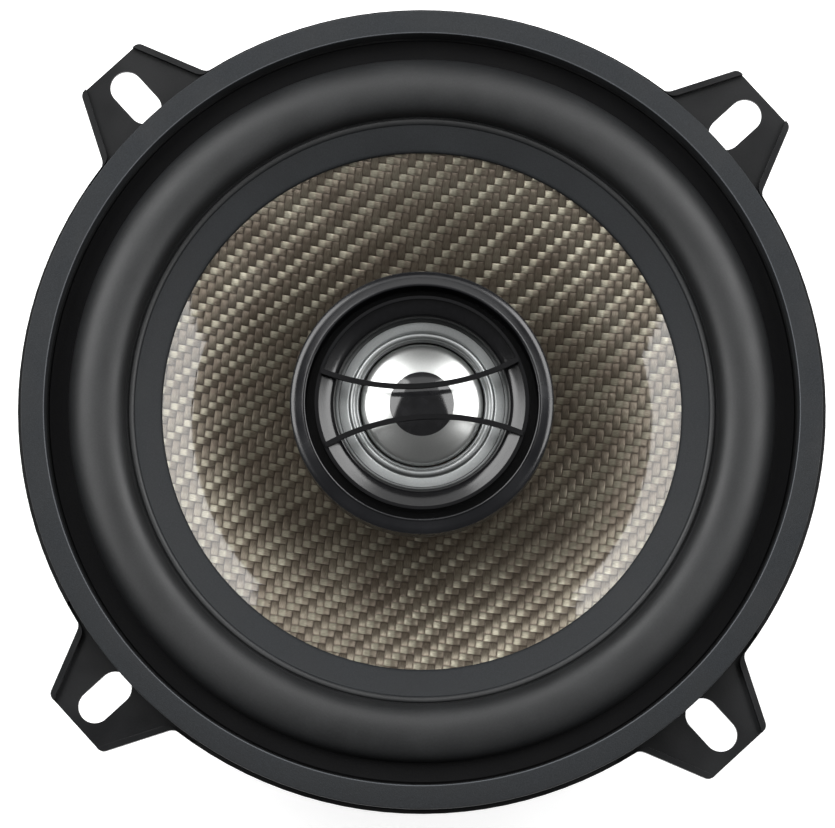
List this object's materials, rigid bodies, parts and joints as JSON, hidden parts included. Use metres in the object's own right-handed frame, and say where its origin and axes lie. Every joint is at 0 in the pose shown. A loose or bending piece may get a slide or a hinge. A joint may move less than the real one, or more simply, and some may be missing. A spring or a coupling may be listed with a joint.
{
  "type": "coaxial car speaker",
  "caption": "Round coaxial car speaker: woven cone in a rubber surround, dome tweeter with guard bars on a central post, four slotted ears.",
  "frame": {"origin": "on the speaker's axis, in the plane of the flange's rear face, which seats on the panel", "axes": "+Z along the axis toward the listener; X and Y each run through a pair of opposite ears; the terminals are at 225 degrees from +X"},
  "size_m": [0.1502, 0.1502, 0.0701],
  "materials": {
    "frame_paint": "satin",
    "trim_foam": "matte",
    "surround_rubber": "satin",
    "woven_cone": "gloss",
    "former_film": "satin",
    "copper": "gloss",
    "spider_cloth": "matte",
    "steel": "satin",
    "ferrite": "matte",
    "rivet_steel": "satin",
    "post_plastic": "satin",
    "holder_plastic": "satin",
    "front_plastic": "gloss",
    "guard_plastic": "satin",
    "dome_silver": "polished",
    "roll_silver": "satin",
    "disc_black": "gloss",
    "felt": "matte",
    "neodymium": "satin",
    "block_plastic": "satin",
    "tinned_brass": "satin",
    "tinsel": "satin",
    "glue": "gloss",
    "capacitor_sleeve": "satin",
    "strap_nylon": "satin",
    "tinned_wire": "satin",
    "shrink_black": "satin",
    "red_wire": "satin",
    "black_wire": "satin"
  },
  "bodies": {
    "chassis": {"frame": "frame_paint", "trim_ring": "trim_foam", "surround": "surround_rubber", "spider": "spider_cloth", "top_plate": "steel", "magnet": "ferrite", "yoke": "steel", "frame_rivets": "rivet_steel", "tweeter_post": "post_plastic", "post_nut": "rivet_steel", "tweeter_holder": "holder_plastic", "tweeter_front": "front_plastic", "tweeter_guard": "guard_plastic", "tweeter_surround": "roll_silver", "felt_pad": "felt", "tweeter_plate": "steel", "tweeter_magnet": "neodymium", "tweeter_yoke": "steel", "terminal_block": "block_plastic", "blade_positive": "tinned_brass", "blade_negative": "tinned_brass", "block_rivets": "rivet_steel", "blade_rivets": "rivet_steel", "tinsel_lead_positive": "tinsel", "tinsel_lead_negative": "tinsel", "capacitor": "capacitor_sleeve", "capacitor_cradle": "block_plastic", "capacitor_strap": "strap_nylon", "capacitor_lead_in": "tinned_wire", "capacitor_lead_out": "tinned_wire", "splice_sleeve": "shrink_black", "tweeter_lead_positive": "red_wire", "tweeter_lead_negative": "black_wire", "lead_clip": "block_plastic"},
    "cone": {"cone": "woven_cone", "coil_former": "former_film", "coil_winding": "copper", "lead_anchors": "glue"},
    "dome": {"tweeter_dome": "dome_silver", "dome_disc": "disc_black", "tweeter_coil": "copper"}
  },
  "joints": [
    {"name": "cone_travel", "type": "slide", "parent": "chassis", "child": "cone", "axis": [0, 0, 1], "range_m": [-0.0035, 0.0035], "stiffness_N_per_m": 1500, "deforming": ["surround", "spider", "tinsel_lead_positive", "tinsel_lead_negative"]},
    {"name": "dome_travel", "type": "slide", "parent": "chassis", "child": "dome", "axis": [0, 0, 1], "range_m": [-0.0003, 0.0003], "stiffness_N_per_m": 200, "deforming": ["tweeter_surround"]}
  ]
}
